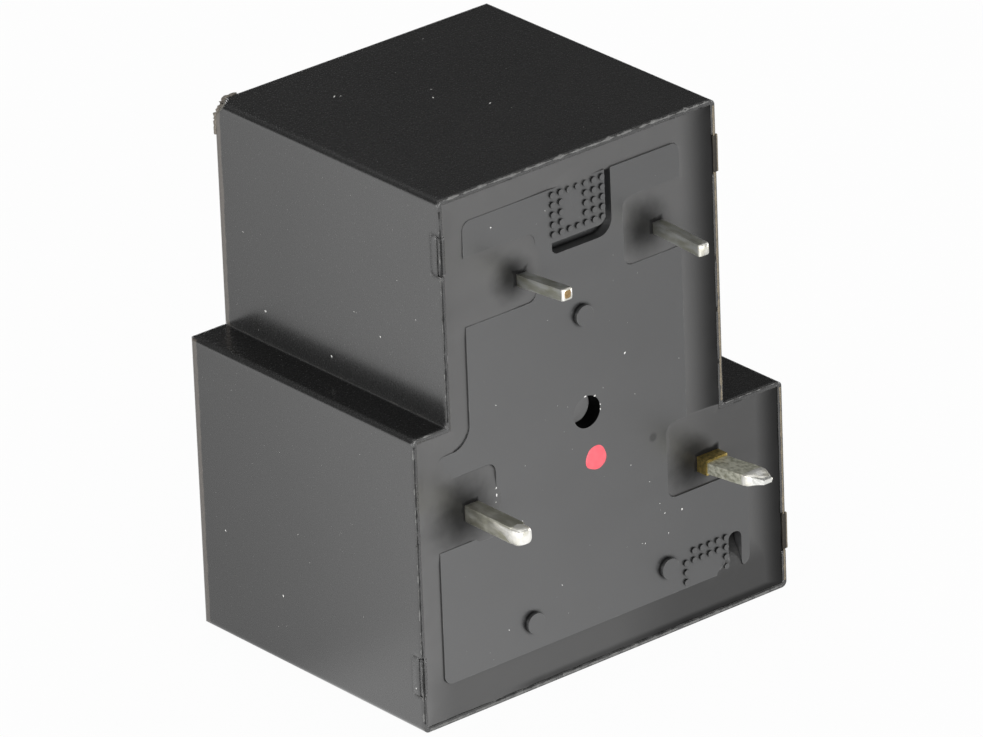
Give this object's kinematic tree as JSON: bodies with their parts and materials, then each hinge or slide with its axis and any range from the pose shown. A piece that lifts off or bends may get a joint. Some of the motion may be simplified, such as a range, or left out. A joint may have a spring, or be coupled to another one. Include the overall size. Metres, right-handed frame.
{
  "type": "printed circuit board relay",
  "caption": "Black sealed power relay with a T-shaped cover, a resin-sealed base with solder pins, and a coil, armature and contact pair inside.",
  "frame": {"origin": "centre of the wide end face, which the relay stands on", "axes": "+Z along the relay's length towards the narrow end, -Y out of the base along the pins, X across"},
  "size_m": [0.0278, 0.025, 0.0323],
  "materials": {
    "cover_plastic": "satin moulded black",
    "base_plastic": "matt moulded black",
    "sealing_resin": "cured resin",
    "tinned_pin": "tinned, solder dipped",
    "brass_terminal": "brass, tinned at the tip",
    "contact_silver": "silver alloy",
    "spring_bronze": "rolled copper alloy",
    "soft_iron": "plated iron",
    "rivet_steel": "plated steel",
    "bobbin_plastic": "moulded",
    "enamelled_copper": "enamelled wire",
    "coil_tape": "polyester tape"
  },
  "bodies": {
    "housing": {"cover": "cover_plastic", "base": "base_plastic", "sealing_resin": "sealing_resin", "coil_pin_left": "tinned_pin", "coil_pin_right": "tinned_pin", "normally_open_terminal": "tinned_pin", "common_terminal": "brass_terminal", "fixed_contact": "contact_silver", "yoke": "soft_iron", "yoke_rivets": "rivet_steel", "core": "soft_iron", "bobbin": "bobbin_plastic", "winding": "enamelled_copper", "coil_tape": "coil_tape", "coil_lead_left": "enamelled_copper", "coil_lead_right": "enamelled_copper"},
    "armature": {"armature": "soft_iron", "armature_rivets": "rivet_steel", "moving_contact": "contact_silver", "contact_spring": "spring_bronze"}
  },
  "joints": [
    {"name": "armature_swing", "type": "hinge", "parent": "housing", "child": "armature", "pos_m": [0.0063, 0.00065, 0.0115], "axis": [0, 1, 0], "range_deg": [0, 6], "stiffness_Nm_per_rad": 0.02, "springref_deg": -5.73, "deforming": ["contact_spring"]}
  ]
}
